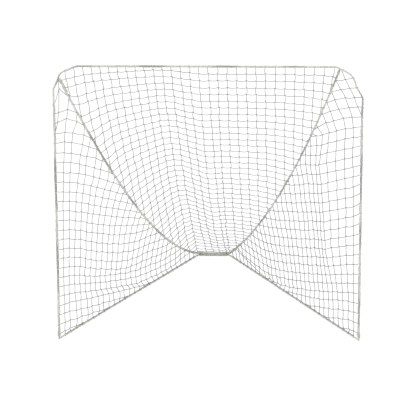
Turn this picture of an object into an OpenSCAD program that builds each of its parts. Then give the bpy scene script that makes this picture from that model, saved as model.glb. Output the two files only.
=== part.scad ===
// Net for a small box-frame hockey goal: three panels of square mesh netting
// laced to border, ground and seam ropes, in its hung shape.
// +Z is up, the mouth faces -Y, and the origin is the middle of the footprint.

/* [Mouth] */
// Width of the mouth, between the axes of the two post ropes
mouth_w = 1220; // [1140:10:1300]
// Height of the crossbar rope's axis above the floor
mouth_h = 1160; // [1080:2:1240]

/* [Footprint] */
// Depth from the mouth to the back hem
depth = 980; // [900:1:1060]
// Length of the back hem between the two ground ropes
hem_w = 140; // [130:5:180]

/* [Rope and twine] */
// Diameter of the border, ground and seam ropes
rope_d = 8; // [7:0.5:10]
// Diameter of the lacing twine
twine_d = 2.4; // [2:0.1:2.8]
// Mesh size along the border, from knot to knot
mesh = 38.5; // [36:0.1:42]
// Thickness of the netting panels
net_t = 2.4; // [2:0.1:3]

/* [Drape] */
// Extra fall of the left seam rope, as a share of its height
seam_sag_left = 0.29; // [0.22:0.01:0.34]
// Extra fall of the right seam rope, as a share of its height
seam_sag_right = 0.245; // [0.18:0.005:0.3]
// How far the middle of the back panel hangs below its two seams
back_dip = 15; // [0:1:30]
// How far the side panels hang inward of a straight line from seam to floor
side_bow = 22; // [0:1:40]

/* [Hidden] */

rope_r = rope_d / 2;
twine_r = twine_d / 2;
// Netting starts this far from a rope's axis, clear of the hitches round it
edge = rope_r + twine_d + 0.4;
// Ground ropes lie on a flattened underside, so their axis is a little low
flat_cut = 0.4;
ground_z = rope_r - flat_cut;
// The hem is a rope wrapped in heavy lashing, and rests on the lashing
lash_r = rope_r / 2;
hem_r = rope_r + 2 * lash_r;
hem_z = hem_r;
// Front and back of the part lie the same distance from the origin
front_reach = rope_r + twine_d;
y_front = -(depth + front_reach + hem_r) / 2 + front_reach;
y_back = y_front + depth;
// Where each seam rope leaves the mouth rope, from the mouth's own corner
left_top_in = 23;
left_top_down = 50;
right_top_in = 91;
right_top_down = 9;
seam_start_back = rope_d + 0.4;
seam_end_z = ground_z + rope_d + 0.6;

// The rope cuts each top corner short. Offsets inward and down from the corner
left_corner = [[0, 95], [5, 84], [13, 68], [19, 54], [24, 40], [34, 27], [55, 16], [78, 6], [98, 0]];
right_corner = [[0, 130], [6, 116], [17, 97], [26, 78], [33, 54], [46, 34], [68, 19], [88, 9], [100, 3], [112, 0]];

function unit(v) = v / norm(v);
function mix(a, b, t) = a * (1 - t) + b * t;
function corner_of(side) = side < 0 ? left_corner : right_corner;
function corner_pt(side, p) = [side * (mouth_w / 2 - p[0]), y_front, mouth_h - p[1]];
// Catmull-Rom curve through a list of points, with k steps a span
function spline(p, k) = [
    for (i = [0 : len(p) - 2], j = [0 : k - 1])
        let (a = p[max(i - 1, 0)], b = p[i], c = p[i + 1], d = p[min(i + 2, len(p) - 1)], t = j / k)
            0.5 * (2 * b + (c - a) * t + (2 * a - 5 * b + 4 * c - d) * t * t + (3 * b - a - 3 * c + d) * t * t * t),
    p[len(p) - 1]
];
function corner_path(side) = spline([for (p = corner_of(side)) corner_pt(side, p)], 2);

// Each seam rope drops from a top corner and then runs back to the hem. r is the
// share of the rope's length, gain its share of the depth and drop its share of the height
function gain(even, r) = even * r + (1 - even) * r * r;
function drop(sag, skew, r) = r + sag * (1 + skew * (2 * r - 1)) * r * (1 - r);
function seam_even(side) = side < 0 ? 0.45 : 0.55;
function seam_x(side, r) =
    side * mix(mouth_w / 2 - (side < 0 ? left_top_in : right_top_in), hem_w / 2, r);
function seam_top_z(side) = mouth_h - (side < 0 ? left_top_down : right_top_down);
function seam_pt(side, r) = [
    seam_x(side, r),
    y_front + depth * gain(seam_even(side), r),
    mix(seam_top_z(side), seam_end_z,
        side < 0 ? drop(seam_sag_left, 0.49, r) : drop(seam_sag_right, 0.03, r))
];
function seam_start(side) = seam_start_back / (depth * seam_even(side));
function ground_pt(side, s) =
    [side * mix(mouth_w / 2, hem_w / 2, s), y_front + depth * s, ground_z];

// Tube along a path. across is a direction square to the whole path
module tube(path, r, across, sides = 10) {
    n = len(path);
    ref = unit(across);
    pts = [for (i = [0 : n - 1])
        let (t = unit(path[min(i + 1, n - 1)] - path[max(i - 1, 0)]), b = unit(cross(t, ref)))
            for (j = [0 : sides - 1])
                path[i] + r * (cos(360 * j / sides) * ref + sin(360 * j / sides) * b)];
    polyhedron(pts, concat(
        [[for (j = [0 : sides - 1]) j]],
        [[for (j = [sides - 1 : -1 : 0]) (n - 1) * sides + j]],
        [for (i = [0 : n - 2], j = [0 : sides - 1])
            let (a = i * sides + j, b = i * sides + (j + 1) % sides) [a, a + sides, b]],
        [for (i = [0 : n - 2], j = [0 : sides - 1])
            let (a = i * sides + j, b = i * sides + (j + 1) % sides) [b, a + sides, b + sides]]
    ), convexity = 6);
}

// Thin closed panel over a grid of middle points p[i][j], thickened along v[i][j]
module panel(p, v, t) {
    n = len(p);
    m = len(p[0]);
    k = n * m;
    pts = concat(
        [for (i = [0 : n - 1], j = [0 : m - 1]) p[i][j] + v[i][j] * t / 2],
        [for (i = [0 : n - 1], j = [0 : m - 1]) p[i][j] - v[i][j] * t / 2]);
    polyhedron(pts, concat(
        [for (i = [0 : n - 2], j = [0 : m - 2]) let (a = i * m + j) [a, a + m, a + 1]],
        [for (i = [0 : n - 2], j = [0 : m - 2]) let (a = i * m + j) [a + 1, a + m, a + m + 1]],
        [for (i = [0 : n - 2], j = [0 : m - 2]) let (a = k + i * m + j) [a, a + 1, a + m]],
        [for (i = [0 : n - 2], j = [0 : m - 2]) let (a = k + i * m + j) [a + 1, a + m + 1, a + m]],
        [for (i = [0 : n - 2]) let (a = i * m) [a, k + a, a + m]],
        [for (i = [0 : n - 2]) let (a = i * m) [a + m, k + a, k + a + m]],
        [for (i = [0 : n - 2]) let (a = i * m + m - 1) [a, a + m, k + a]],
        [for (i = [0 : n - 2]) let (a = i * m + m - 1) [a + m, k + a + m, k + a]],
        [for (j = [0 : m - 2]) [j, j + 1, k + j]],
        [for (j = [0 : m - 2]) [j + 1, k + j + 1, k + j]],
        [for (j = [0 : m - 2]) let (a = (n - 1) * m + j) [a, k + a, a + 1]],
        [for (j = [0 : m - 2]) let (a = (n - 1) * m + j) [a + 1, k + a, k + a + 1]]
    ), convexity = 8);
}

// Back panel: hung between the seams and the crossbar, and slack in the middle
function top_z(x) = x < 0
    ? mouth_h - lookup(x + mouth_w / 2, [[0, 95], [13, 68], [19, 54], [24, 40], [34, 27], [55, 16], [78, 6], [98, 0]])
    : mouth_h - lookup(mouth_w / 2 - x, [[0, 130], [17, 97], [26, 78], [33, 54], [46, 34], [68, 19], [88, 9], [112, 0]]);
function back_pt(s, u) =
    let (a = seam_pt(-1, s), b = seam_pt(1, s), q = pow(1 - s, 6),
         xt = mix(seam_x(-1, 0), seam_x(1, 0), u),
         lift = q * (top_z(xt) - mix(seam_top_z(-1), seam_top_z(1), u)),
         hump = 4 * u * (1 - u))
    mix(a, b, u) + [0, 70 * s * pow(1 - s, 3) * hump, lift - 6.75 * back_dip * s * s * (1 - s) * hump];
function back_normal(s, u) =
    unit(cross(back_pt(s, min(u + 0.01, 1)) - back_pt(s, max(u - 0.01, 0)),
               back_pt(min(s + 0.01, 1), u) - back_pt(max(s - 0.01, 0), u)));
back_s = [for (i = [0 : 22]) mix(0.0095, 1 - (hem_r + 0.8) / (1.4 * depth), pow(i / 22, 1.1))];
function back_u(s, k) = let (e = (edge + 0.8) / (seam_x(1, s) - seam_x(-1, s))) mix(e, 1 - e, k / 20);
module back_netting() {
    color("whitesmoke")
        panel([for (s = back_s) [for (k = [0 : 20]) back_pt(s, back_u(s, k))]],
              [for (s = back_s) [for (k = [0 : 20]) back_normal(s, back_u(s, k))]], net_t);
}

// Side panel: stands on the ground rope and hangs from the seam rope. Its columns
// lean back going down, and it bows inward a little
function seam_slope(side, s) =
    let (d = seam_pt(side, s + 0.005) - seam_pt(side, s - 0.005)) d[2] / norm([d[0], d[1]]);
function side_out(side) = unit([side * depth, (mouth_w - hem_w) / 2, 0]);
function side_pt(side, s, t) =
    let (g = ground_pt(side, s + 0.12 * s * (1 - s)) + [0, 0, edge],
         h = seam_pt(side, s) - [0, 0, edge * sqrt(1 + pow(seam_slope(side, s), 2)) + 0.4],
         post = (mouth_w / 2 - abs(h[0])) * t * (1 - pow(t, 20)) * pow(1 - s, 8))
    mix(g, h, t) + [side * post, 0, 0] - side_out(side) * side_bow * 16 * s * (1 - s) * t * (1 - t);
module side_netting(side) {
    s_all = [for (i = [0 : 18]) mix(1.25 * edge / (depth * seam_even(side)), 0.965, i / 18)];
    n = side_out(side);
    color("whitesmoke")
        panel([for (s = s_all) [for (k = [0 : 16]) side_pt(side, s, k / 16)]],
              [for (s = s_all) [for (k = [0 : 16]) side * n]], net_t);
}
module left_netting() side_netting(-1);
module right_netting() side_netting(1);

// Ropes
module rod(a, b, r) {
    d = b - a;
    translate(a) rotate([0, acos(d[2] / norm(d)), atan2(d[1], d[0])])
        cylinder(r = r, h = norm(d), $fn = 48);
}
module crossbar_rope() {
    color("gainsboro") rod(
        [-mouth_w / 2 + left_corner[len(left_corner) - 1][0], y_front, mouth_h],
        [mouth_w / 2 - right_corner[len(right_corner) - 1][0], y_front, mouth_h], rope_r);
}
module corner_rope(side) color("gainsboro") tube(corner_path(side), rope_r, [0, 1, 0]);
module left_corner_rope() corner_rope(-1);
module right_corner_rope() corner_rope(1);
module post_rope(side) {
    color("gainsboro") rod(
        [side * mouth_w / 2, y_front, ground_z + rope_r + 0.3],
        [side * mouth_w / 2, y_front, mouth_h - corner_of(side)[0][1]], rope_r);
}
module left_post_rope() post_rope(-1);
module right_post_rope() post_rope(1);
module ground_rope(side) {
    a = ground_pt(side, 0);
    b = ground_pt(side, 1);
    t = unit(b - a);
    color("gainsboro") difference() {
        rod(a - rope_r * 0.9 * t, b - 0.5 * t, rope_r);
        translate([-mouth_w, -depth, -10]) cube([2 * mouth_w, 2 * depth, 10]);
    }
}
module left_ground_rope() ground_rope(-1);
module right_ground_rope() ground_rope(1);
hem_half = hem_w / 2 - rope_r - 1;
module back_hem_rope() {
    color("gainsboro") rod([-hem_half, y_back, hem_z], [hem_half, y_back, hem_z], rope_r);
}
module seam_rope(side) {
    path = [for (i = [0 : 34]) seam_pt(side, mix(seam_start(side), 1, i / 34))];
    d = path[34] - path[0];
    color("gainsboro") tube(path, rope_r, [d[1], -d[0], 0]);
}
module left_seam_rope() seam_rope(-1);
module right_seam_rope() seam_rope(1);

// One turn of twine round a rope at p, square to the direction t
module hitch(p, t, r = twine_r, round = rope_r) {
    translate(p) rotate([0, acos(t[2]), atan2(t[1], t[0])])
        rotate_extrude($fn = 32) translate([round + r, 0]) circle(r = r, $fn = 6);
}
// Points every gap along a path, from the distance first on
function path_len(p) = [for (i = 0, d = 0; i < len(p); d = d + (i + 1 < len(p) ? norm(p[i + 1] - p[i]) : 0), i = i + 1) d];
function along(p, d) =
    let (l = path_len(p), i = max([for (k = [0 : len(p) - 2]) if (l[k] <= d) k]),
         f = (d - l[i]) / (l[i + 1] - l[i]))
    [mix(p[i], p[i + 1], f), unit(p[i + 1] - p[i])];
module hitches(path, first, gap, count) {
    for (k = [0 : count - 1]) let (q = along(path, first + k * gap)) hitch(q[0], q[1]);
}
module straight_hitches(a, b, gap) {
    n = floor(norm(b - a) / gap);
    first = (norm(b - a) - (n - 1) * gap) / 2;
    for (k = [0 : n - 1]) hitch(a + unit(b - a) * (first + k * gap), unit(b - a));
}
module crossbar_hitches() {
    color("lightgray") straight_hitches(
        [-mouth_w / 2 + left_corner[len(left_corner) - 1][0], y_front, mouth_h],
        [mouth_w / 2 - right_corner[len(right_corner) - 1][0], y_front, mouth_h], mesh);
}
module corner_hitches(side, first, gap, count) {
    color("lightgray") hitches(corner_path(side), first, gap, count);
}
module left_corner_hitches() corner_hitches(-1, 16, 25, 5);
module right_corner_hitches() corner_hitches(1, 16, 26.5, 6);
module post_hitches(side) {
    color("lightgray") straight_hitches(
        [side * mouth_w / 2, y_front, 42],
        [side * mouth_w / 2, y_front, mouth_h - corner_of(side)[0][1]], mesh);
}
module left_post_hitches() post_hitches(-1);
module right_post_hitches() post_hitches(1);
// On the ground the twine is stitched over the rope, so nothing lifts it
module ground_hitches(side) {
    a = ground_pt(side, 0);
    b = ground_pt(side, 1);
    t = unit(b - a);
    n = floor((norm(b - a) - 40) / mesh);
    first = (norm(b - a) - (n - 1) * mesh) / 2;
    color("lightgray")
        for (k = [0 : n - 1])
            translate(a + t * (first + k * mesh)) rotate([0, 0, atan2(t[1], t[0])]) rotate([90, 0, 90])
                rotate([0, 0, -24]) rotate_extrude(angle = 228, $fn = 32)
                    translate([rope_r + twine_r, 0]) circle(r = twine_r, $fn = 6);
}
module left_ground_hitches() ground_hitches(-1);
module right_ground_hitches() ground_hitches(1);
module seam_hitches(side) {
    path = [for (i = [0 : 60]) seam_pt(side, mix(seam_start(side), 1, i / 60))];
    color("lightgray") hitches(path, 50, mesh, 37);
}
module left_seam_hitches() seam_hitches(-1);
module right_seam_hitches() seam_hitches(1);
// Heavy lashing: turns laid tight against each other, so they are one ribbed sleeve
module back_hem_lashing() {
    turns = floor((2 * hem_half - 4) / (2 * lash_r));
    half = turns * lash_r;
    outline = concat(
        [[rope_r, -half]],
        [for (k = [0 : turns - 1], a = [-60 : 30 : 60])
            [rope_r + lash_r + lash_r * cos(a), -half + (2 * k + 1) * lash_r + lash_r * sin(a)]],
        [[rope_r, half]]);
    color("darkgray") translate([0, y_back, hem_z]) rotate([0, 90, 0])
        rotate_extrude($fn = 48) polygon(outline);
}

// Close turns of twine that seize a rope's end
module seizing(path, first) {
    color("lightgray") hitches(path, first, twine_d + 0.15, 6);
}
module foot_seizing(side) seizing(
    [[side * mouth_w / 2, y_front, ground_z + edge], [side * mouth_w / 2, y_front, 60]], twine_r + 0.4);
module left_foot_seizing() foot_seizing(-1);
module right_foot_seizing() foot_seizing(1);
function seam_end_path(side, s0, s1) = [for (i = [0 : 12]) seam_pt(side, mix(s0, s1, i / 12))];
module left_top_seizing() seizing(seam_end_path(-1, seam_start(-1), 0.06), 8);
module right_top_seizing() seizing(seam_end_path(1, seam_start(1), 0.06), 8);
module left_back_seizing() seizing(seam_end_path(-1, 0.95, 0.99), 8);
module right_back_seizing() seizing(seam_end_path(1, 0.95, 0.99), 8);

back_netting();
left_netting();
right_netting();
crossbar_rope();
left_corner_rope();
right_corner_rope();
left_post_rope();
right_post_rope();
left_ground_rope();
right_ground_rope();
back_hem_rope();
left_seam_rope();
right_seam_rope();
crossbar_hitches();
left_corner_hitches();
right_corner_hitches();
left_post_hitches();
right_post_hitches();
left_ground_hitches();
right_ground_hitches();
left_seam_hitches();
right_seam_hitches();
back_hem_lashing();
left_foot_seizing();
right_foot_seizing();
left_top_seizing();
right_top_seizing();
left_back_seizing();
right_back_seizing();
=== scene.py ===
"""Hockey goal net: knotless square mesh laced to border, ground and seam ropes.

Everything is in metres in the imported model's frame. The netting is hung by a small
mass-and-thread simulation, then each thread, rope strand and lacing turn is a mesh tube.
"""
import math

import bpy
import numpy as np
from mathutils import Matrix, Vector


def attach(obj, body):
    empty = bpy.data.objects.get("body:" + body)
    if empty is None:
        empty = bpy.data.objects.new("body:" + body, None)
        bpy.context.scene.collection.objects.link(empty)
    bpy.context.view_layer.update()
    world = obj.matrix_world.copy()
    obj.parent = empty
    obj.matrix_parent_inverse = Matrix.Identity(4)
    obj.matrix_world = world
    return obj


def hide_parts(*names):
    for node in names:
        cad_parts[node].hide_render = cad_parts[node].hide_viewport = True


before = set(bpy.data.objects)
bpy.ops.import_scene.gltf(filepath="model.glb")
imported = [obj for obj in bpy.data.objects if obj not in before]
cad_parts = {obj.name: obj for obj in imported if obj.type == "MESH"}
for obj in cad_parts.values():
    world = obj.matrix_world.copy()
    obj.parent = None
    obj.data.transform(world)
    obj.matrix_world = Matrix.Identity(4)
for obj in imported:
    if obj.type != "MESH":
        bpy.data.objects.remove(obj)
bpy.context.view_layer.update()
RNG = np.random.default_rng(11)

# ---------------------------------------------------------------- sizes, as in the CAD
W, H, D, HEM = 1.220, 1.160, 0.980, 0.140
ROPE_R, TWINE_R, MESH = 0.004, 0.0012, 0.0385
EDGE = ROPE_R + 2 * TWINE_R + 0.0004
GZ = ROPE_R - 0.0004
HEM_R = 0.008
YF = -(D + ROPE_R + 2 * TWINE_R + HEM_R) / 2 + ROPE_R + 2 * TWINE_R
YB = YF + D
LEFT_CORNER = [(0, 95), (5, 84), (13, 68), (19, 54), (24, 40), (34, 27), (55, 16), (78, 6), (98, 0)]
RIGHT_CORNER = [(0, 130), (6, 116), (17, 97), (26, 78), (33, 54), (46, 34), (68, 19), (88, 9), (100, 3), (112, 0)]
EVEN = {-1: 0.45, 1: 0.55}
SAG = {-1: (0.29, 0.49), 1: (0.245, 0.03)}
TOP_IN = {-1: 0.023, 1: 0.091}
TOP_DOWN = {-1: 0.050, 1: 0.009}
NET_R = 0.00136


def vec(*a):
    return np.array(a, float)


def unit(v):
    return v / (np.linalg.norm(v) + 1e-12)


def seam_pt(side, r):
    r = np.asarray(r, float)
    gain = EVEN[side] * r + (1 - EVEN[side]) * r * r
    sag, skew = SAG[side]
    drop = r + sag * (1 + skew * (2 * r - 1)) * r * (1 - r)
    x = side * ((W / 2 - TOP_IN[side]) * (1 - r) + HEM / 2 * r)
    z = (H - TOP_DOWN[side]) * (1 - drop) + (GZ + 2 * ROPE_R + 0.0006) * drop
    return np.stack([x, YF + D * gain, z], -1)


def ground_pt(side, s, z=GZ):
    s = np.asarray(s, float)
    return np.stack([side * (W / 2 * (1 - s) + HEM / 2 * s), YF + D * s, 0 * s + z], -1)


def catmull(p, k):
    p = [np.array(q, float) for q in p]
    out = []
    for i in range(len(p) - 1):
        a, b, c, d = p[max(i - 1, 0)], p[i], p[i + 1], p[min(i + 2, len(p) - 1)]
        for j in range(k):
            t = j / k
            out.append(0.5 * (2 * b + (c - a) * t + (2 * a - 5 * b + 4 * c - d) * t * t
                              + (3 * b - a - 3 * c + d) * t ** 3))
    out.append(p[-1])
    return np.array(out)


class Line:
    """A path with its length measured along it."""

    def __init__(self, pts):
        self.p = np.array(pts, float)
        self.s = np.concatenate([[0], np.cumsum(np.linalg.norm(np.diff(self.p, axis=0), axis=1))])
        self.length = self.s[-1]

    def at(self, s):
        s = np.asarray(s, float)
        return np.stack([np.interp(s, self.s, self.p[:, i]) for i in range(3)], -1)

    def near(self, q):
        """Distance along the path of its point nearest to q."""
        fine = np.linspace(0, self.length, 2400)
        return fine[np.argmin(np.linalg.norm(self.at(fine) - np.array(q), axis=1))]


def smooth_noise(s, step, seed):
    """Smooth random values about -1 to 1 along s, changing over about step metres."""
    rng = np.random.default_rng(seed)
    s = np.asarray(s, float)
    lo = s.min() - 2 * step
    n = int((s.max() - lo) / step) + 5
    v = rng.uniform(-1, 1, n)
    x = (s - lo) / step
    i = np.clip(x.astype(int), 0, n - 2)
    f = x - i
    f = f * f * (3 - 2 * f)
    return v[i] * (1 - f) + v[i + 1] * f


# ---------------------------------------------------------------- meshes
class Soup:
    """Collects tubes into one mesh. The map's first axis runs along a tube in metres."""

    def __init__(self):
        self.v, self.q, self.uv, self.tint = [], [], [], []
        self.n = 0

    def tube(self, path, radius, ref, sides=6, s0=0.0, tint=0.5, cap=True, squeeze=None):
        path = np.array(path, float)
        n = len(path)
        t = np.empty_like(path)
        t[1:-1] = path[2:] - path[:-2]
        t[0], t[-1] = path[1] - path[0], path[-1] - path[-2]
        t /= np.linalg.norm(t, axis=1)[:, None] + 1e-12
        ref = np.broadcast_to(np.array(ref, float), path.shape)
        b = np.cross(t, ref)
        b /= np.linalg.norm(b, axis=1)[:, None] + 1e-12
        a = np.cross(b, t)
        radius = np.broadcast_to(np.asarray(radius, float), (n,))
        s = s0 + np.concatenate([[0], np.cumsum(np.linalg.norm(np.diff(path, axis=0), axis=1))])
        if cap:
            # rounded ends: a small ring a little way inside, then the full one
            path = np.concatenate([path[:1], path, path[-1:]])
            a, b = (np.concatenate([x[:1], x, x[-1:]]) for x in (a, b))
            s = np.concatenate([s[:1], s, s[-1:]])
            radius = np.concatenate([[1e-5], radius, [1e-5]])
            n += 2
        ang = 2 * math.pi * np.arange(sides) / sides
        ra = radius[:, None, None]
        rb = ra if squeeze is None else ra * squeeze
        ring = path[:, None] + ra * np.cos(ang)[None, :, None] * a[:, None] + rb * np.sin(ang)[None, :, None] * b[:, None]
        i = np.arange(n - 1)[:, None] * sides + np.arange(sides)[None]
        j = np.arange(n - 1)[:, None] * sides + (np.arange(sides)[None] + 1) % sides
        quads = np.stack([i, j, j + sides, i + sides], -1).reshape(-1, 4) + self.n
        u = np.broadcast_to(s[:, None], (n, sides + 1))
        w = np.broadcast_to(np.arange(sides + 1)[None] / sides, (n, sides + 1))
        k = np.arange(sides)
        uv = np.stack([
            np.stack([u[:-1, :-1], w[:-1, :-1]], -1), np.stack([u[:-1, 1:], w[:-1, 1:]], -1),
            np.stack([u[1:, 1:], w[1:, 1:]], -1), np.stack([u[1:, :-1], w[1:, :-1]], -1)], 2)
        self.v.append(ring.reshape(-1, 3))
        self.q.append(quads)
        self.uv.append(uv.reshape(-1, 2))
        self.tint.append(np.broadcast_to(np.asarray(tint, float), (n, 1)).repeat(sides, 1).reshape(-1)
                         if np.ndim(tint) == 0 else
                         np.repeat(np.concatenate([tint[:1], tint, tint[-1:]]) if cap else tint, sides))
        self.n += n * sides

    def object(self, name, material, floor=None):
        v = np.concatenate(self.v)
        q = np.concatenate(self.q)
        if floor is not None:
            v[:, 2] = np.maximum(v[:, 2], floor)
        me = bpy.data.meshes.new(name)
        me.vertices.add(len(v))
        me.vertices.foreach_set("co", v.astype(np.float32).ravel())
        me.loops.add(q.size)
        me.loops.foreach_set("vertex_index", q.astype(np.int32).ravel())
        me.polygons.add(len(q))
        me.polygons.foreach_set("loop_start", np.arange(0, q.size, 4, dtype=np.int32))
        me.polygons.foreach_set("loop_total", np.full(len(q), 4, np.int32))
        me.update(calc_edges=True)
        layer = me.uv_layers.new(name="thread")
        layer.data.foreach_set("uv", np.concatenate(self.uv).astype(np.float32).ravel())
        att = me.attributes.new("tint", "FLOAT", "POINT")
        att.data.foreach_set("value", np.concatenate(self.tint).astype(np.float32))
        me.polygons.foreach_set("use_smooth", np.ones(len(q), bool))
        me.validate(clean_customdata=False)
        me.materials.append(material)
        ob = bpy.data.objects.new(name, me)
        bpy.context.scene.collection.objects.link(ob)
        return ob


# ---------------------------------------------------------------- camera
cam_data = bpy.data.cameras.new("camera")
cam = bpy.data.objects.new("camera", cam_data)
bpy.context.scene.collection.objects.link(cam)
cam_data.sensor_fit = "HORIZONTAL"
cam_data.sensor_width = 36.0
cam_data.lens = 238.6
cam_data.clip_end = 200.0
yaw, pitch, roll = math.radians(-1.58), math.radians(19.27), math.radians(0.27)
ahead = vec(math.sin(yaw) * math.cos(pitch), math.cos(yaw) * math.cos(pitch), -math.sin(pitch))
level = vec(math.cos(yaw), -math.sin(yaw), 0)
up = np.cross(level, ahead)
right = level * math.cos(roll) - up * math.sin(roll)
up = level * math.sin(roll) + up * math.cos(roll)
m = Matrix.Identity(4)
for i in range(3):
    m[i][0], m[i][1], m[i][2] = right[i], up[i], -ahead[i]
m.translation = Vector((0.243, YF - 10.0, 4.101))
cam.matrix_world = m
bpy.context.scene.camera = cam


# ---------------------------------------------------------------- materials
def node_material(name, base, dark, soil, rough, bump, lay, grain, sheen=0.25, soil_low=0.0, groove_shade_amount=0.35):
    """Fibre material. The thread map drives a twist and painted shade in the grooves between fibres; tint the
    strand-to-strand tone, darker rope stretches and painted shade on the side panels.
    """
    mat = bpy.data.materials.new(name)
    mat.use_nodes = True
    nt = mat.node_tree
    nd, ln = nt.nodes, nt.links
    bsdf = nd["Principled BSDF"]
    bsdf.inputs["Roughness"].default_value = rough
    bsdf.inputs["Specular IOR Level"].default_value = 0.25
    bsdf.inputs["Sheen Weight"].default_value = sheen
    bsdf.inputs["Sheen Roughness"].default_value = 0.5

    def new(kind, **kw):
        n = nd.new(kind)
        for k, v in kw.items():
            setattr(n, k, v)
        return n

    def math_node(op, a, b=None, clamp=False):
        n = new("ShaderNodeMath", operation=op, use_clamp=clamp)
        for i, x in enumerate((a, b)):
            if x is None:
                continue
            if isinstance(x, (int, float)):
                n.inputs[i].default_value = x
            else:
                ln.new(x, n.inputs[i])
        return n.outputs[0]

    def mix(fac, a, b):
        n = new("ShaderNodeMix", data_type="RGBA")
        for i, x in ((0, fac), (6, a), (7, b)):
            if isinstance(x, (int, float, tuple, list)):
                n.inputs[i].default_value = x
            else:
                ln.new(x, n.inputs[i])
        return n.outputs[2]

    uv = new("ShaderNodeUVMap", uv_map="thread")
    sep = new("ShaderNodeSeparateXYZ")
    ln.new(uv.outputs[0], sep.inputs[0])
    along, around = sep.outputs[0], sep.outputs[1]
    coords = new("ShaderNodeTexCoord").outputs["Object"]

    # fibres twisted together: two crossing sets for a braid, one for a laid strand
    def ridges(slant, count, pitch):
        phase = math_node("ADD", math_node("MULTIPLY", around, float(count)),
                          math_node("MULTIPLY", along, slant * count / pitch))
        return math_node("SINE", math_node("MULTIPLY", phase, 2 * math.pi))

    twist_a = ridges(1.0, 3, lay)
    twist_b = ridges(-1.0, 3, lay) if lay < 0.012 else ridges(1.0, 11, lay)
    weave = math_node("MAXIMUM", twist_a, twist_b)
    fibre = new("ShaderNodeTexNoise")
    stretch = new("ShaderNodeMapping")
    stretch.inputs["Scale"].default_value = (260, 9, 1)
    ln.new(uv.outputs[0], stretch.inputs["Vector"])
    ln.new(stretch.outputs[0], fibre.inputs["Vector"])
    fibre.inputs["Scale"].default_value = 1.0
    fibre.inputs["Detail"].default_value = 3.0
    cloud = new("ShaderNodeTexNoise")
    ln.new(coords, cloud.inputs["Vector"])
    cloud.inputs["Scale"].default_value = 14.0
    cloud.inputs["Detail"].default_value = 5.0
    cloud.inputs["Roughness"].default_value = 0.65
    spots = new("ShaderNodeTexNoise")
    ln.new(coords, spots.inputs["Vector"])
    spots.inputs["Scale"].default_value = grain
    spots.inputs["Detail"].default_value = 2.0

    tint = new("ShaderNodeAttribute", attribute_name="tint").outputs["Fac"]
    # painted shade: the colour is mixed towards dark in the grooves between the twisted fibres, where shade would fall
    painted_groove_shade = new("ShaderNodeMapRange")
    ln.new(weave, painted_groove_shade.inputs["Value"])
    painted_groove_shade.inputs["From Min"].default_value = -0.4
    painted_groove_shade.inputs["From Max"].default_value = 0.7
    painted_groove_shade.inputs["To Min"].default_value = groove_shade_amount
    painted_groove_shade.inputs["To Max"].default_value = 0.0
    colour = mix(painted_groove_shade.outputs[0], base, dark)
    # a lower tint mixes towards dark: strand-to-strand tone and darker rope stretches, and painted shade on the side
    # panels
    shade = new("ShaderNodeMapRange")
    ln.new(tint, shade.inputs["Value"])
    shade.inputs["To Min"].default_value = 0.8
    shade.inputs["To Max"].default_value = 0.0
    colour = mix(shade.outputs[0], colour, dark)
    dirt = new("ShaderNodeMapRange")
    ln.new(math_node("ADD", math_node("MULTIPLY", cloud.outputs["Fac"], 0.7),
                     math_node("MULTIPLY", spots.outputs["Fac"], 0.3)), dirt.inputs["Value"])
    dirt.inputs["From Min"].default_value = 0.50
    dirt.inputs["From Max"].default_value = 0.72
    dirt.inputs["To Min"].default_value = soil_low
    dirt.inputs["To Max"].default_value = 0.5
    colour = mix(dirt.outputs[0], colour, soil)
    ln.new(colour, bsdf.inputs["Base Color"])

    height = math_node("ADD", math_node("MULTIPLY", weave, 0.6), math_node("MULTIPLY", fibre.outputs["Fac"], 0.8))
    bp = new("ShaderNodeBump")
    bp.inputs["Strength"].default_value = bump
    bp.inputs["Distance"].default_value = 0.0004
    ln.new(height, bp.inputs["Height"])
    ln.new(bp.outputs[0], bsdf.inputs["Normal"])
    r = new("ShaderNodeMapRange")
    ln.new(fibre.outputs["Fac"], r.inputs["Value"])
    r.inputs["To Min"].default_value = rough - 0.1
    r.inputs["To Max"].default_value = min(rough + 0.15, 1.0)
    ln.new(r.outputs[0], bsdf.inputs["Roughness"])
    return mat


# the last value of each material sets how much shade is painted into the grooves between its fibres
M_NET = node_material("netting_twine", (0.52, 0.52, 0.495, 1), (0.18, 0.18, 0.162, 1), (0.27, 0.262, 0.232, 1),
                      0.72, 0.5, 0.006, 180.0, groove_shade_amount=0.45)
M_ROPE = node_material("rope", (0.955, 0.955, 0.91, 1), (0.33, 0.325, 0.285, 1), (0.60, 0.585, 0.52, 1),
                       0.75, 0.6, 0.030, 120.0, groove_shade_amount=0.14)
M_LACE = node_material("lacing_twine", (0.945, 0.945, 0.90, 1), (0.56, 0.555, 0.51, 1), (0.60, 0.585, 0.52, 1),
                       0.78, 0.6, 0.009, 220.0, groove_shade_amount=0.18)
M_HEM = node_material("hem_lashing", (0.94, 0.94, 0.88, 1), (0.46, 0.455, 0.40, 1), (0.58, 0.565, 0.49, 1),
                      0.85, 0.8, 0.009, 260.0, soil_low=0.1, groove_shade_amount=0.35)


# ---------------------------------------------------------------- rope lines
def corner_line(side, pts):
    return catmull([vec(side * (W / 2 - a / 1000), YF, H - b / 1000) for a, b in pts], 6)


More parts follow.
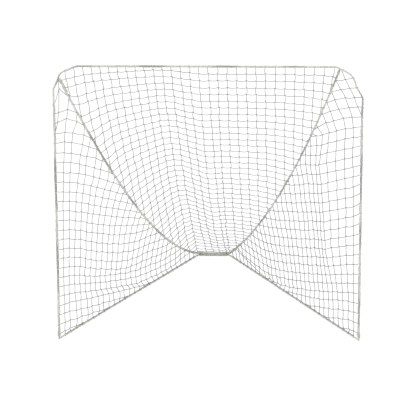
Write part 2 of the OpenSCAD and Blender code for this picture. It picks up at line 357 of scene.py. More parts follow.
left_corner = corner_line(-1, LEFT_CORNER)
right_corner = corner_line(1, RIGHT_CORNER)[::-1]
foot_z = GZ + ROPE_R + 0.0003
border_pts = [vec(-W / 2, YF, foot_z)] + [vec(-W / 2, YF, z) for z in np.linspace(0.05, H - 0.110, 40)]
border_pts += list(left_corner)
border_pts += [vec(x, YF, H) for x in np.linspace(left_corner[-1][0], right_corner[0][0], 60)[1:-1]]
border_pts += list(right_corner)
border_pts += [vec(W / 2, YF, z) for z in np.linspace(H - 0.145, 0.05, 40)] + [vec(W / 2, YF, foot_z)]
BORDER = Line(border_pts)
S_LC0, S_LC1 = BORDER.near(left_corner[0]), BORDER.near(left_corner[-1])
S_RC0, S_RC1 = BORDER.near(right_corner[0]), BORDER.near(right_corner[-1])
SEAM = {sd: Line(seam_pt(sd, np.linspace(0, 1, 200))) for sd in (-1, 1)}
GROUND = {sd: Line(ground_pt(sd, np.linspace(0, 1, 80))) for sd in (-1, 1)}


def border_wobble(s):
    """The border rope isn't quite straight: small sideways bends, none at the feet."""
    fade = np.clip(np.minimum(s, BORDER.length - s) / 0.04, 0, 1)
    ox = 0.0009 * smooth_noise(s, 0.085, 21) * fade
    oy = 0.0010 * smooth_noise(s, 0.11, 22) * fade
    oz = 0.0008 * smooth_noise(s, 0.09, 23) * fade
    return np.stack([ox, oy, oz], -1)


def border_at(s):
    return BORDER.at(s) + border_wobble(np.asarray(s, float))


# ---------------------------------------------------------------- hanging the netting
NR, NK = 39, 30
C = MESH
TOP_X = [-0.562 + 0.0334 * k + 0.00011 * k * k for k in range(NK)]
FIRST_LINK = np.interp(range(NK), [0, 3, 5, 8, 10, 12, 13, 15, 29],
                       [0.034, 0.030, 0.027, 0.022, 0.016, 0.019, 0.026, 0.0375, 0.0385])


def rope_z(x):
    """Height of the mouth rope's axis at x, across the crossbar and the cut corners."""
    if x < 0:
        p = left_corner
        return float(np.interp(x, p[:, 0], p[:, 2]))
    p = right_corner
    return float(np.interp(x, p[:, 0], p[:, 2])) if x > p[0][0] else H


class Cloth:
    def __init__(self):
        self.p, self.w, self.con, self.threads = [], [], [], []

    def add(self, p, w):
        self.p.append(np.array(p, float))
        self.w.append(w)
        return len(self.p) - 1


cl = Cloth()
knot = {}
hitch_on = {"border": [], ("seam", -1): [], ("seam", 1): [], ("ground", -1): [], ("ground", 1): []}
# back panel: columns 0-11 end on the left seam, 12-16 on the hem, 17-29 on the right seam
LEFT_ENDS = ([0, 1, 2, 3, 4, 12], [3.55, 6.2, 8.9, 13.1, 17.2, NR])
col_from = lambda r: float(np.interp(r, [1, 2] + LEFT_ENDS[1], [-0.6, -0.5] + LEFT_ENDS[0]))
col_to = lambda r: 29.0 - 12.0 * (r - 3) / (NR - 3)
row_share = {-1: lambda r: float(np.interp(r, [0, 1, 2, 3, 4, 5, 6, 7, 8, 14, NR], [0, 0.008, 0.028, 0.056, 0.087, 0.121, 0.156, 0.188, 0.219, 0.373, 1])),
             1: lambda r: (r + 0.15 * (1 - r / NR)) / NR}
hem_x = np.linspace(-HEM / 2 + 0.012, HEM / 2 - 0.012, 5)
for r in range(1, NR):
    ks = [k for k in range(NK) if k > col_from(r) + 0.3 and k < col_to(r) - 0.3]
    L = SEAM[-1].at(row_share[-1](r) * SEAM[-1].length)
    R = SEAM[1].at(row_share[1](r) * SEAM[1].length)
    a, b = cl.add(L, 0.0), cl.add(R, 0.0)
    hitch_on["seam", -1].append(row_share[-1](r) * SEAM[-1].length)
    hitch_on["seam", 1].append(row_share[1](r) * SEAM[1].length)
    for k in ks:
        f = (k - col_from(r)) / (col_to(r) - col_from(r))
        p = L * (1 - f) + R * f
        p[2] = max(p[2] + 0.02, 0.02)
        knot["b", r, k] = cl.add(p, 1.0)
    ids = [a] + [knot["b", r, k] for k in ks] + [b]
    lens = [(ks[0] - col_from(r)) * C] + [C] * (len(ks) - 1) + [(col_to(r) - ks[-1]) * C]
    cl.threads.append(("back", "row", r, ids, lens))
for k in range(NK):
    x = TOP_X[k]
    top = vec(x, YF, rope_z(x))
    s_top = BORDER.near(top)
    hitch_on["border"].append(s_top)
    rs = [r for r in range(1, NR) if ("b", r, k) in knot]
    if not rs:
        continue
    ids = [cl.add(top + vec(0, 0.003, -0.003), 0.0)] + [knot["b", r, k] for r in rs]
    lens = [FIRST_LINK[k]] + [C] * (len(rs) - 1)
    if rs[-1] == NR - 1 and 12 <= k <= 16:
        ids.append(cl.add(vec(hem_x[k - 12], YB - 0.004, 0.0125), 0.0))
        lens.append(C)
    else:
        sd = -1 if k < 13 else 1
        te = float(np.interp(k, *LEFT_ENDS)) if sd < 0 else 3 + (NR - 3) * (29 - k) / 12.0
        te = min(max(te, rs[-1] + 0.1), NR - 0.05)
        ids.append(cl.add(SEAM[sd].at(row_share[sd](te) * SEAM[sd].length), 0.0))
        lens.append(max(te - rs[-1], 0.1) * C)
    cl.threads.append(("back", "col", k, ids, lens))

# side panels: i counts columns back from the post, j rows up from the ground. Row j ends on the
# seam after cut(j) meshes. Near the top the first column leaves the post and goes to the seam's top
CUT = {-1: ([0, 5, 8, 10, 12, 13, 15, 18, 21, 25], [28, 26.2, 23, 20.5, 17, 16.3, 13.8, 9.2, 5.2, 1]),
       1: ([0, 1.9, 3.7, 7.4, 12, 15, 19, 22, 24, 28], [30, 29.6, 28.9, 26, 20.2, 15.4, 10, 6.8, 4.2, 0])}
SHARE = {-1: ([0, 1, 2, 3, 4, 5, 9, 14, 16, 19, 22, 25, 28], [0.018, 0.062, 0.115, 0.160, 0.204, 0.247, 0.405, 0.56, 0.62, 0.70, 0.79, 0.89, 1.0]),
         1: ([0, 1, 2, 3, 4, 5, 6, 7, 8, 10, 12.6, 15.4, 20.2, 30], [0.010, 0.036, 0.070, 0.108, 0.147, 0.193, 0.226, 0.245, 0.280, 0.365, 0.45, 0.55, 0.70, 1.0])}
# the lowest rows run into the ground rope one after another: lowest free row by column
BASE = {-1: ([0, 4.3, 8.8, 12.6, 15.7, 22, 28], [0, 1, 2, 3, 3.9, 4.3, 4.31]),
        1: ([0, 3.3, 6.8, 10.8, 15.5, 22, 30], [0, 1, 2, 3, 4, 4.8, 4.81])}
POST = {-1: ([1, 25], [0.022, 1.0012]), 1: ([1, 14, 27], [0.031, 0.5946, 1.1133])}
LOOSE = {-1: {23: 0.004, 24: 0.009, 25: 0.014}, 1: {24: 0.014, 25: 0.026, 26: 0.029, 27: 0.027}}
# the right panel's slack hangs inwards in a fold beside the post: by column, then by row
FOLD = ([0, 1, 2, 3, 4, 5, 6, 7, 8, 10], [0, 0.002, 0.007, 0.014, 0.022, 0.029, 0.020, 0.010, 0.006, 0])
FOLD_ROWS = ([6, 10, 19, 22], [0, 1, 1, 0])
HEAD = {-1: vec(-W / 2 + 0.021, YF + 0.006, H - 0.056), 1: vec(W / 2 - 0.084, YF + 0.006, H - 0.016)}
for sd in (-1, 1):
    name = "left" if sd < 0 else "right"
    NG = 28 if sd < 0 else 30
    CV, CS = 0.0395 if sd < 0 else 0.0410, 0.0385
    cut_at = lambda j, sd=sd: float(np.interp(j, *CUT[sd]))
    base_at = lambda i, sd=sd: float(np.interp(i, *BASE[sd]))
    on_ground = lambda i, sd=sd, NG=NG: ground_pt(sd, i / NG + 0.10 * i / NG * (1 - i / NG), 0.009)
    ends = {i: float(np.interp(-i, [-c for c in CUT[sd][1]], CUT[sd][0])) for i in range(1, NG)}
    corner = left_corner if sd < 0 else right_corner[::-1]
    share = lambda c, sd=sd: float(np.interp(c, *SHARE[sd]))
    top_row = POST[sd][0][-1]
    for j in range(1, top_row + 1):
        z = float(np.interp(j, *POST[sd]))
        x = float(np.interp(z, corner[:, 2], corner[:, 0])) if z > corner[0, 2] else sd * W / 2
        p = vec(x, YF, z)
        hitch_on["border"].append(BORDER.near(p))
        hook = cl.add(p + vec(-sd * 0.002, 0.004, 0), 0.0)
        if j in LOOSE[sd]:
            knot["n", sd, 0, j] = cl.add(p + vec(-sd * LOOSE[sd][j], 0.01, 0), 1.0)
            knot["hook", sd, j] = hook
        else:
            knot["n", sd, 0, j] = hook
    for i in range(1, NG):
        p = on_ground(i)
        hitch_on["ground", sd].append(GROUND[sd].near(p))
        knot["n", sd, i, 0] = cl.add(p, 0.0)
    for j in range(1, top_row + 1):
        for i in range(1, NG):
            if i < cut_at(j) - 0.3 and j > base_at(i) + 0.3:
                f = (j - base_at(i)) / max(ends[i] - base_at(i), j + 0.3 - base_at(i))
                t = share(i)
                g, s_ = ground_pt(sd, i / NG, 0.008), SEAM[sd].at(t * SEAM[sd].length)
                knot["n", sd, i, j] = cl.add(g * (1 - f) + s_ * f, 1.0)
    for j in range(1, top_row + 1):
        grounded = j < BASE[sd][1][-1]
        last = float(np.interp(j, BASE[sd][1], BASE[sd][0])) if grounded else NG
        row = [i for i in range(0, NG) if ("n", sd, i, j) in knot and i < last]
        ids = [knot["n", sd, i, j] for i in row]
        lens = [CS] * (len(row) - 1)
        if ("hook", sd, j) in knot:
            ids.insert(0, knot["hook", sd, j])
            lens.insert(0, LOOSE[sd][j])
        cut = cut_at(j)
        if grounded:
            ids.append(cl.add(on_ground(last), 0.0))
            lens.append(max(last - row[-1], 0.1) * CS)
        elif cut > 0.2:
            ids.append(cl.add(SEAM[sd].at(min(share(cut), 0.9995) * SEAM[sd].length), 0.0))
            lens.append(max(cut - row[-1], 0.1) * CS)
        if len(ids) > 1:
            cl.threads.append((name, "row", j, ids, lens))
    loose = sorted(LOOSE[sd])
    ids = [knot["n", sd, 0, loose[0] - 1]] + [knot["n", sd, 0, j] for j in loose] + [cl.add(HEAD[sd], 0.0)]
    cl.threads.append((name, "col", 0, ids, [CV] * (len(ids) - 1)))
    for i in range(1, NG):
        colm = [j for j in range(0, top_row + 1) if ("n", sd, i, j) in knot]
        ids = [knot["n", sd, i, j] for j in colm]
        lens = [CV] * (len(colm) - 1)
        if lens:
            lens[0] = (colm[1] - base_at(i)) * CV
        jc = ends[i]
        ids.append(cl.add(SEAM[sd].at(min(share(i), 0.9995) * SEAM[sd].length), 0.0))
        lens.append(max(jc - max(colm[-1], base_at(i)), 0.1) * CV)
        cl.threads.append((name, "col", i, ids, lens))


def settle(steps):
    """Threads pull but never push. Light gravity, so that few passes keep their lengths."""
    X = np.array(cl.p)
    w = np.array(cl.w)
    A, B, L, stiff = [], [], [], []
    for panel, kind, _, ids, lens in cl.threads:
        A += ids[:-1]
        B += ids[1:]
        L += lens
        stiff += [0.5 if panel != "back" and kind == "col" else 0.0] * len(lens)
    A, B, L = np.array(A), np.array(B), np.array(L)
    least = L * np.array(stiff)
    used = [set() for _ in X]
    groups = []
    for c, (a, b) in enumerate(zip(A, B)):
        g = 0
        while g in used[a] or g in used[b]:
            g += 1
        if w[a]:
            used[a].add(g)
        if w[b]:
            used[b].add(g)
        while len(groups) <= g:
            groups.append([])
        groups[g].append(c)
    groups = [np.array(g) for g in groups]
    wa, wb = w[A], w[B]
    share_a, share_b = wa / (wa + wb + 1e-9), wb / (wa + wb + 1e-9)
    free = w > 0
    V = np.zeros_like(X)
    sides = []
    for sd in (-1, 1):
        keys = [key for key, n in knot.items() if key[0] == "n" and key[1] == sd and w[n] > 0 and key[2] > 0]
        ids = np.array([knot[key] for key in keys])
        fold = np.array([np.interp(key[2], *FOLD) * np.interp(key[3], *FOLD_ROWS) if sd > 0 else 0.0 for key in keys])
        held = np.array([4 <= key[2] <= 8 for key in keys]) & (fold > 0.001)
        g0, g1 = ground_pt(sd, 0.0), ground_pt(sd, 1.0)
        along = unit(g1 - g0)
        inward = unit(vec(-sd * D, -(W - HEM) / 2, 0))
        q = SEAM[sd].p - g0
        sides.append((ids, g0, along, inward, q @ along, q @ inward, q[:, 2], fold, held))
    dt = 1 / 60.0
    for _ in range(steps):
        V[free] += vec(0, 0, -0.4) * dt
        V *= 0.985
        Y = X.copy()
        Y[free] += V[free] * dt
        for _ in range(10):
            for g in groups:
                a, b = A[g], B[g]
                d = Y[a] - Y[b]
                l = np.linalg.norm(d, axis=1) + 1e-12
                k = np.where(l > L[g], (l - L[g]) / l, np.where(l < least[g], 0.2 * (l - least[g]) / l, 0))[:, None] * d
                Y[a] -= share_a[g][:, None] * k
                Y[b] += share_b[g][:, None] * k
        Y[free, 2] = np.maximum(Y[free, 2], 0.006)
        for ids, g0, along, inward, sa, sn, sz, fold, held in sides:
            q = Y[ids] - g0
            a_ = q @ along
            most = np.interp(a_, sa, sn) * np.clip(q[:, 2] / np.interp(a_, sa, sz), 0, 1)
            most = most - 0.005 * np.clip((0.03 - q[:, 2]) / 0.02, 0, 1) + 0.001 + fold
            over = np.maximum(q @ inward - most, 0) - np.where(held, np.maximum(most - 0.004 - q @ inward, 0), 0)
            Y[ids] -= over[:, None] * inward
        V = (Y - X) / dt
        X = Y
    return X


X = settle(700)

# Slack meshes don't hang true: neighbouring crossings sit a little up and down, in and out
normal_of = {"back": unit(vec(0, 0.75, 0.66)),
             "left": unit(vec(-D, (W - HEM) / 2, 0)), "right": unit(vec(D, (W - HEM) / 2, 0))}
free = np.array(cl.w) > 0
shift = np.zeros_like(X)
for key, n in knot.items():
    if not free[n] or key[0] == "hook":
        continue
    p = X[n]
    low = np.clip((0.75 - p[2]) / 0.75, 0, 1)
    if key[0] == "b":
        _, r, k = key
        amp = 0.0004 + 0.0012 * low
        shift[n] += vec(1, 0, 0) * amp * (-1) ** r * (0.6 + 0.4 * math.sin(k * 0.9 + r * 0.17))
        shift[n] += vec(0, -0.4, 1) * amp * 0.8 * (-1) ** k * (0.6 + 0.4 * math.sin(r * 0.7 + k * 0.2))
    else:
        _, sd, i, j = key
        along = unit(vec(-sd * (W - HEM) / 2, D, 0))
        amp = (0.0004 + 0.0022 * low) * min(i / 3.0, 1)
        shift[n] += along * amp * (-1) ** j * (0.6 + 0.4 * math.sin(i * 0.8 + j * 0.15))
        shift[n] += vec(0, 0, 1) * amp * 0.9 * (-1) ** i * (0.6 + 0.4 * math.sin(j * 0.6 + i * 0.25))
noise = RNG.normal(0, 0.0005, X.shape)
X = X + shift + noise * free[:, None]
X[free, 2] = np.maximum(X[free, 2], 0.0035)

STEP = np.array([0, 0.05, 0.12, 0.25, 0.4, 0.6, 0.75, 0.88, 0.95])


def thread_path(ids, lens, kind, out, rng):
    """A thread through its crossings, with each slack link bowed, and its thickness there."""
    pts, rad = [], []
    for q in range(len(ids) - 1):
        a, b = X[ids[q]], X[ids[q + 1]]
        d = np.linalg.norm(b - a)
        L = max(lens[q] * 1.018, d * 1.002)
        h = min(math.sqrt(0.375 * d * (L - d)), 0.0030 if kind == "row" else 0.0022)
        chord = (b - a) / (d + 1e-9)
        if kind == "row":
            way = vec(0, 0, -1) + out * rng.normal(0, 0.35)
        else:
            way = np.cross(chord, out) * (1 if rng.random() < 0.5 else -1) + out * rng.normal(0, 0.35) + vec(0, 0, -0.2)
        way = way - chord * (way @ chord)
        way = unit(way)
        st = STEP if q < len(ids) - 2 else np.append(STEP, 1.0)
        pts.append(a + (b - a) * st[:, None] + way * (h * 4 * st * (1 - st))[:, None])
        dist = np.minimum(st, 1 - st) * d
        rad.append(NET_R * (1 + 0.26 * np.exp(-(dist / 0.0024) ** 2)))
    return np.concatenate(pts), np.concatenate(rad)


panels = {}
rng = np.random.default_rng(5)
for panel in ("back", "left", "right"):
    soup = Soup()
    out = normal_of[panel]
    for pn, kind, num, ids, lens in cl.threads:
        if pn != panel:
            continue
        path, rad = thread_path(ids, lens, kind, out, rng)
        # painted shade: the side panels, the right one most, get a lower tint, which mixes their twine towards dark;
        # the random part is strand-to-strand tone
        tint = {"back": 0.66, "left": 0.62, "right": 0.28}[panel] + 0.28 * rng.random()
        soup.tube(path, rad, out, sides=6, s0=rng.random(), tint=tint)
    panels[panel] = soup


# selvedge: the panels' edge thread runs beside the post and ground ropes, loosely
def selvedge(soup, line_at, stations, off, sag, out, seed):
    """Edge thread that dips in to the rope at each hitch and bows away between them."""
    r = np.random.default_rng(seed)
    pts, rad = [], []
    stations = sorted(stations)
    for a, b in zip(stations[:-1], stations[1:]):
        st = np.array([0, 0.08, 0.25, 0.5, 0.75, 0.92])
        s = a + (b - a) * st
        d = off * (0.75 + 0.25 * r.random()) + sag * np.sin(np.pi * st) * (0.4 + 0.9 * r.random())
        pts.append(line_at(s) + out * d[:, None])
        dist = np.minimum(st, 1 - st) * (b - a)
        rad.append(NET_R * (1 + 0.3 * np.exp(-(dist / 0.0024) ** 2)))
    if pts:
        soup.tube(np.concatenate(pts), np.concatenate(rad), np.cross(out, vec(0.3, 0.5, 0.8)), sides=6, tint=0.8)


post_st = {sd: [s for s in hitch_on["border"] if (s < S_LC0 if sd < 0 else s > S_RC1)] for sd in (-1, 1)}
for sd, nm in ((-1, "left"), (1, "right")):
    inward = unit(vec(-sd * 0.55, 0.85, 0))
    selvedge(panels[nm], border_at, post_st[sd], 0.0062, 0.003, inward, 31 + sd)
    g_in = unit(vec(-sd * D, -(W - HEM) / 2, 0)) * 0.55 + vec(0, 0, 0.84)
    selvedge(panels[nm], GROUND[sd].at, hitch_on["ground", sd], 0.0064, 0.0035, unit(g_in), 41 + sd)
top_st = sorted(s for s in hitch_on["border"] if S_LC1 - 0.03 < s < S_RC0 + 0.02)
selvedge(panels["back"], border_at, [BORDER.near(vec(x, YF, rope_z(x))) for x in TOP_X], 0.0060, 0.0022,
         unit(vec(0, 0.75, -0.65)), 51)

net_objs = {}
for panel, node in (("back", "back_netting"), ("left", "left_netting"), ("right", "right_netting")):
    net_objs[node] = panels[panel].object("net_" + panel, M_NET, floor=0.0012)


# ---------------------------------------------------------------- ropes
# stretches where a rope is coloured darker: (start, end) in metres along it
DARKER_STRETCHES = {"border": [(0.0, 0.03), (0.20, 0.41), (0.56, 0.77), (1.07, 1.12), (1.19, 1.26), (1.44, 1.55), (1.74, 1.83),
                     (2.03, 2.10), (2.37, 2.47), (2.63, 2.82), (2.92, 3.02), (3.24, 3.36)],
          -1: [(0.30, 0.56), (0.74, 0.83), (1.05, 1.15), (1.40, 1.60)],
          1: [(0.0, 0.10), (0.38, 0.52), (0.67, 0.80), (1.00, 1.12), (1.38, 1.60)]}


def darkening_along(s, key):
    out = np.zeros_like(s)
    for a, b in DARKER_STRETCHES.get(key, []):
        out = np.maximum(out, np.clip((s - a) / 0.03 + 0.5, 0, 1) * np.clip((b - s) / 0.03 + 0.5, 0, 1))
    return out


def laid_rope(soup, at, s0, s1, ref, lay=0.042, phase=0.0, seed=1, radius=ROPE_R, hand=1, end0=False, end1=False,
              darker_stretch_key=None):
    """Three-strand laid rope along at(s), s in metres, its strands twisted round each other."""
    n = max(int((s1 - s0) / 0.0033), 8) + 1
    s = np.linspace(s0, s1, n)
    c = at(s)
    t = np.gradient(c, axis=0)
    t /= np.linalg.norm(t, axis=1)[:, None]
    ref = np.broadcast_to(np.array(ref, float), c.shape)
    b = np.cross(t, ref)
    b /= np.linalg.norm(b, axis=1)[:, None]
    a = np.cross(b, t)
    loose = 1 + 0.05 * smooth_noise(s, 0.06, seed)
    slow = smooth_noise(s, 0.09, seed + 7)
    wander = np.interp(s, s, np.cumsum(smooth_noise(s, 0.05, seed + 3)) * (s[1] - s[0]) * 18.0)
    for k in range(3):
        ang = hand * 2 * math.pi * (s / lay) + 2 * math.pi * k / 3 + phase + wander
        off = radius * 0.475 * loose
        p = c + off[:, None] * (np.cos(ang)[:, None] * a + np.sin(ang)[:, None] * b)
        rad = radius * 0.535 * (1 + 0.03 * smooth_noise(s, 0.02, seed + 11 + k))
        if end0:
            rad = rad * np.clip(0.75 + (s - s0) / 0.01, 0, 1)
        if end1:
            rad = rad * np.clip(0.75 + (s1 - s) / 0.01, 0, 1)
        # the strands are mixed towards dark along the listed stretches of each rope
        tint = np.clip((1.05, 1.0, 0.92)[k] + 0.15 * slow - 0.85 * darkening_along(s, darker_stretch_key), 0.0, 1.0)
        soup.tube(p, rad, ref, sides=8, s0=s0, tint=tint)


def lacing(soup, at, stations, s0, s1, ref, inner, turns=2.0, radius=ROPE_R * 0.97, tw=0.0008, seed=1, slackness=0.0006):
    """One twine along the rope: it lies on the rope's inner side and takes a few turns at each hitch."""
    r = np.random.default_rng(seed)
    st = sorted(x for x in stations if s0 + 0.006 < x < s1 - 0.006)
    keep = []
    for x in st:
        if not keep or x - keep[-1] > 0.011:
            keep.append(x)
    S, A, R = [s0], [inner], [radius + tw]
    ang = inner
    for x in keep:
        w = tw * (2.0 + 0.5 * r.random())
        nt = turns + (0.5 if r.random() < 0.3 else 0.0)
        steps = int(14 * nt)
        xs = x - w + 2 * w * np.linspace(0, 1, steps)
        mid = (S[-1] + xs[0]) / 2
        S.append(mid)
        A.append(ang + r.normal(0, 0.15))
        R.append(radius + tw + slackness * r.random())
        S += list(xs)
        A += list(ang + 2 * math.pi * nt * np.linspace(0, 1, steps))
        R += list(radius + tw * (0.9 + 0.2 * np.sin(np.linspace(0, 7, steps)) ** 2))
        ang += 2 * math.pi * round(nt)
    S.append(s1)
    A.append(ang)
    R.append(radius + tw)
    S, A, R = np.array(S), np.array(A), np.array(R)
    # fill the long runs between hitches
    fine_s, fine_a, fine_r = [], [], []
    for i in range(len(S) - 1):
        m = max(int((S[i + 1] - S[i]) / 0.004), 1)
        f = np.arange(m) / m
        g = f * f * (3 - 2 * f)
        fine_s += list(S[i] + (S[i + 1] - S[i]) * f)
        fine_a += list(A[i] + (A[i + 1] - A[i]) * g)
        fine_r += list(R[i] + (R[i + 1] - R[i]) * g)
    fine_s.append(S[-1]); fine_a.append(A[-1]); fine_r.append(R[-1])
    s, a_, rr = np.array(fine_s), np.array(fine_a), np.array(fine_r)
    c = at(s)
    t = at(s + 0.002) - at(s - 0.002)
    t /= np.linalg.norm(t, axis=1)[:, None] + 1e-12
    ref = np.broadcast_to(np.array(ref, float), c.shape)
    b = np.cross(t, ref)
    b /= np.linalg.norm(b, axis=1)[:, None]
    n = np.cross(b, t)
    p = c + rr[:, None] * (np.cos(a_)[:, None] * n + np.sin(a_)[:, None] * b)
    out = p - c
    soup.tube(p, tw * (1 + 0.06 * smooth_noise(np.arange(len(s)) * 0.01, 0.05, seed)), out, sides=6,
              s0=s0, tint=np.clip(0.72 + 0.3 * smooth_noise(s, 0.07, seed + 2), 0, 1))


def winding(soup, at, s0, s1, count, ref, radius=ROPE_R, tw=TWINE_R, seed=1, tint=0.6, tail=0.02, ragged=0.0):
    """Close turns of twine round a rope's end, with its own short tail."""
    r = np.random.default_rng(seed)
    n = count * 16 + 1
    f = np.linspace(0, 1, n)
    s = s0 + (s1 - s0) * f + ragged * tw * np.interp(f * count, np.arange(count + 1), r.normal(0, 1, count + 1))
    a_ = 2 * math.pi * count * f + r.random() * 6
    rr = radius + tw * (0.95 + ragged * 0.8 * np.interp(f * count, np.arange(count + 1), r.random(count + 1)))
    c = at(s)
    t = at(s + 0.002) - at(s - 0.002)
    t /= np.linalg.norm(t, axis=1)[:, None] + 1e-12
    rf = np.broadcast_to(np.array(ref, float), c.shape)
    b = np.cross(t, rf)
    b /= np.linalg.norm(b, axis=1)[:, None]
    m = np.cross(b, t)
    p = c + rr[:, None] * (np.cos(a_)[:, None] * m + np.sin(a_)[:, None] * b)
    out = p - c
    soup.tube(p, tw, out, sides=6, tint=tint)
    if tail:
        q = p[-1]
        d = unit(out[-1])
        end = [q + d * tail * x + t[-1] * tail * 0.8 * x * x + vec(0, 0, -1) * tail * 0.7 * x * x
               for x in np.linspace(0, 1, 7)]
        soup.tube(np.array(end), tw * np.linspace(1, 0.7, 7), unit(np.cross(d, t[-1]) + 0.01), sides=6, tint=tint)


def piece(ob, nodes):
    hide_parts(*nodes)
    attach(ob, "root")


for node, ob in net_objs.items():
    piece(ob, [node])

BREF = vec(0, 1, 0)
for node, a, b in (("left_post_rope", 0.0, S_LC0), ("left_corner_rope", S_LC0, S_LC1),
                   ("crossbar_rope", S_LC1, S_RC0), ("right_corner_rope", S_RC0, S_RC1),
                   ("right_post_rope", S_RC1, BORDER.length)):
    soup = Soup()
    laid_rope(soup, border_at, a, b, BREF, phase=0.4, seed=61, darker_stretch_key="border")
    piece(soup.object(node.replace("_rope", "_laid_rope"), M_ROPE, floor=0.001), [node])

for sd, nm in ((-1, "left"), (1, "right")):
    soup = Soup()
    ln_ = GROUND[sd]
    wob = lambda s, ln_=ln_, sd=sd: ground_pt(sd, np.asarray(s, float) / ln_.length) + np.stack(
        [0.0010 * smooth_noise(s, 0.09, 70 + sd) * np.clip(np.minimum(s, ln_.length - s) / 0.05, 0, 1),
         0 * s, 0 * s], -1)
    laid_rope(soup, wob, -0.0036 + 0.0, ln_.length - 0.0005, vec(0, 0, 1), phase=1.0, seed=66 + sd, end0=True, end1=True)
    piece(soup.object(nm + "_ground_laid_rope", M_ROPE, floor=0.0), [nm + "_ground_rope"])
    soup = Soup()
    lacing(soup, wob, hitch_on["ground", sd], 0.012, ln_.length - 0.02, vec(0, 0, 1), 0.9 * -sd, seed=80 + sd)
    piece(soup.object(nm + "_ground_lacing", M_LACE, floor=0.0), [nm + "_ground_hitches"])

for sd, nm in ((-1, "left"), (1, "right")):
    ln_ = SEAM[sd]
    chord = seam_pt(sd, 1.0) - seam_pt(sd, 0.0)
    ref = unit(vec(chord[1], -chord[0], 0))
    s_start = 0.0044
    wob = lambda s, ln_=ln_, sd=sd: ln_.at(s) + np.stack(
        [0 * s, 0 * s, 0.0012 * smooth_noise(s, 0.07, 90 + sd) * np.clip(np.minimum(s, ln_.length - s) / 0.08, 0, 1)], -1)
    soup = Soup()
    laid_rope(soup, wob, s_start, ln_.length, ref, phase=2.0, seed=72 + sd, end0=True, end1=True, darker_stretch_key=sd)
    if sd < 0:
        # the left rope's end is turned back beside it and seized down
        side_off = unit(np.cross(unit(chord), ref)) * -0.0062
        back = lambda s: wob(s) + side_off * np.interp(s, [0, s_start, s_start + 0.012, 1], [0.2, 0.6, 1, 1])[:, None]
        laid_rope(soup, back, s_start, 0.080, ref, phase=0.5, seed=75, radius=ROPE_R * 0.62, end0=True, end1=True)
    piece(soup.object(nm + "_seam_laid_rope", M_ROPE, floor=0.001), [nm + "_seam_rope"])
    soup = Soup()
    lacing(soup, wob, hitch_on["seam", sd], 0.040, ln_.length - 0.03, ref, 2.2, seed=84 + sd)
    piece(soup.object(nm + "_seam_lacing", M_LACE, floor=0.001), [nm + "_seam_hitches"])
    soup = Soup()
    winding(soup, wob, s_start + 0.006, s_start + 0.023, 7, ref, radius=ROPE_R, tw=0.0009, seed=101 + sd, tint=0.9)
    piece(soup.object(nm + "_top_binding", M_LACE), [nm + "_top_seizing"])
    soup = Soup()
    winding(soup, wob, ln_.length * 0.955, ln_.length * 0.955 + 0.018, 7, ref, seed=111 + sd, tint=0.35, tail=0.008)
    piece(soup.object(nm + "_back_binding", M_LACE, floor=0.001), [nm + "_back_seizing"])
    soup = Soup()
    foot = 0.0 if sd < 0 else BORDER.length
    sgn = 1 if sd < 0 else -1
    winding(soup, border_at, foot + sgn * 0.006, foot + sgn * 0.024, 7, BREF, seed=121 + sd, tint=0.5, tail=0.008)
    piece(soup.object(nm + "_foot_binding", M_LACE, floor=0.001), [nm + "_foot_seizing"])

for node, a, b, inner in (("left_post_hitches", 0.03, S_LC0, 2.6), ("left_corner_hitches", S_LC0, S_LC1, 2.6),
                          ("crossbar_hitches", S_LC1, S_RC0, 2.6), ("right_corner_hitches", S_RC0, S_RC1, 2.6),
                          ("right_post_hitches", S_RC1, BORDER.length - 0.03, 2.6)):
    soup = Soup()
    lacing(soup, border_at, hitch_on["border"], a, b, BREF, inner, seed=131 + int(a * 10))
    piece(soup.object(node.replace("_hitches", "_lacing"), M_LACE, floor=0.001), [node])

# ---------------------------------------------------------------- hem: rope inside heavy, ragged lashing
hem_half = HEM / 2 - ROPE_R - 0.001
hem_at = lambda s: np.stack([np.asarray(s, float) - hem_half, 0 * np.asarray(s, float) + YB, 0 * np.asarray(s, float) + HEM_R], -1)
soup = Soup()
laid_rope(soup, hem_at, 0.0, 2 * hem_half, vec(0, 0, 1), phase=0.2, seed=140, end0=True, end1=True)
piece(soup.object("back_hem_laid_rope", M_ROPE, floor=0.0), ["back_hem_rope"])
soup = Soup()
r = np.random.default_rng(17)
turns = 46
winding(soup, hem_at, -0.002, 2 * hem_half + 0.002, turns, vec(0, 0, 1), radius=ROPE_R * 1.02, tw=0.00165, seed=150, tint=0.75, tail=0, ragged=0.45)
winding(soup, hem_at, 0.012, 2 * hem_half - 0.014, 15, vec(0, 0, 1), radius=ROPE_R + 0.0020, tw=0.0013, seed=151, tint=0.5, tail=0, ragged=0.9)
winding(soup, hem_at, 2 * hem_half - 0.010, 0.010, 11, vec(0, 0, 1), radius=ROPE_R + 0.0022, tw=0.0012, seed=152, tint=0.85, tail=0, ragged=1.0)
for q in range(120):
    # loose fibres, most of them at the two ends
    e = r.random()
    s = (0.002 + 0.016 * r.random() ** 1.5) if e < 0.4 else (2 * hem_half - 0.002 - 0.016 * r.random() ** 1.5) if e < 0.8 else 0.01 + r.random() * (2 * hem_half - 0.02)
    a0 = r.uniform(-0.3, math.pi + 0.3)
    base = hem_at(s) + vec(0, math.cos(a0), math.sin(a0)) * (ROPE_R + 0.002)
    way = unit(vec(r.normal(0, 0.8), math.cos(a0) + r.normal(0, 0.4), abs(math.sin(a0)) + 0.5 * r.random()))
    ln_len = r.uniform(0.006, 0.017)
    bend = vec(r.normal(0, 0.5), r.normal(0, 0.5), -0.7 * r.random()) * ln_len
    f = np.linspace(0, 1, 6)[:, None]
    soup.tube(base + way * ln_len * f + bend * f * f, np.linspace(0.00045, 0.0002, 6), unit(np.cross(way, vec(0.3, 0.2, 0.9))), sides=4, tint=0.3)
piece(soup.object("back_hem_binding", M_HEM, floor=0.0), ["back_hem_lashing"])

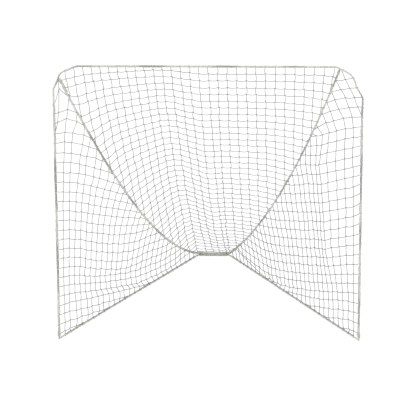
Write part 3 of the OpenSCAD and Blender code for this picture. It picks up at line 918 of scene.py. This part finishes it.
# ---------------------------------------------------------------- floor, light, world
bpy.ops.mesh.primitive_circle_add(vertices=96, radius=60, fill_type="NGON", location=(0, 0, -0.0004))
floor = bpy.context.object
floor.name = "floor"
fm = bpy.data.materials.new("pale_floor")
fm.use_nodes = True
nd, ln = fm.node_tree.nodes, fm.node_tree.links
bs = nd["Principled BSDF"]
bs.inputs["Base Color"].default_value = (0.9, 0.9, 0.9, 1)
bs.inputs["Roughness"].default_value = 0.9
bs.inputs["Specular IOR Level"].default_value = 0.0
glow = nd.new("ShaderNodeEmission")
glow.inputs["Strength"].default_value = 1.20
lp = nd.new("ShaderNodeLightPath")
mu = nd.new("ShaderNodeMath")
mu.operation = "MULTIPLY"
mu.inputs[1].default_value = 0.75
mixer = nd.new("ShaderNodeMixShader")
ln.new(lp.outputs["Is Camera Ray"], mu.inputs[0])
ln.new(mu.outputs[0], mixer.inputs[0])
ln.new(bs.outputs[0], mixer.inputs[1])
ln.new(glow.outputs[0], mixer.inputs[2])
ln.new(mixer.outputs[0], nd["Material Output"].inputs["Surface"])
floor.data.materials.append(fm)

world = bpy.data.worlds.new("studio")
bpy.context.scene.world = world
world.use_nodes = True
nd, ln = world.node_tree.nodes, world.node_tree.links
bg = nd["Background"]
bg.inputs["Color"].default_value = (1, 1, 1, 1)
# a big soft light overhead, fading towards the horizon; the backdrop itself is white
tc = nd.new("ShaderNodeTexCoord")
sx = nd.new("ShaderNodeSeparateXYZ")
ln.new(tc.outputs["Generated"], sx.inputs[0])
dome = nd.new("ShaderNodeMapRange")
ln.new(sx.outputs["Z"], dome.inputs["Value"])
dome.inputs["To Min"].default_value = 0.40
dome.inputs["To Max"].default_value = 1.02
lp = nd.new("ShaderNodeLightPath")
mx = nd.new("ShaderNodeMix")
ln.new(lp.outputs["Is Camera Ray"], mx.inputs[0])
ln.new(dome.outputs[0], mx.inputs[2])
mx.inputs[3].default_value = 1.0
ln.new(mx.outputs[0], bg.inputs["Strength"])


def sun(name, way, strength, angle):
    d = bpy.data.lights.new(name, "SUN")
    d.energy = strength
    d.angle = math.radians(angle)
    o = bpy.data.objects.new(name, d)
    bpy.context.scene.collection.objects.link(o)
    o.rotation_mode = "QUATERNION"
    o.rotation_quaternion = Vector(way).to_track_quat("Z", "Y")
    return o


sun("key", (-0.35, -0.55, 1.0), 0.33, 110)

bpy.context.scene.view_settings.view_transform = "Standard"
bpy.context.scene.view_settings.look = "None"
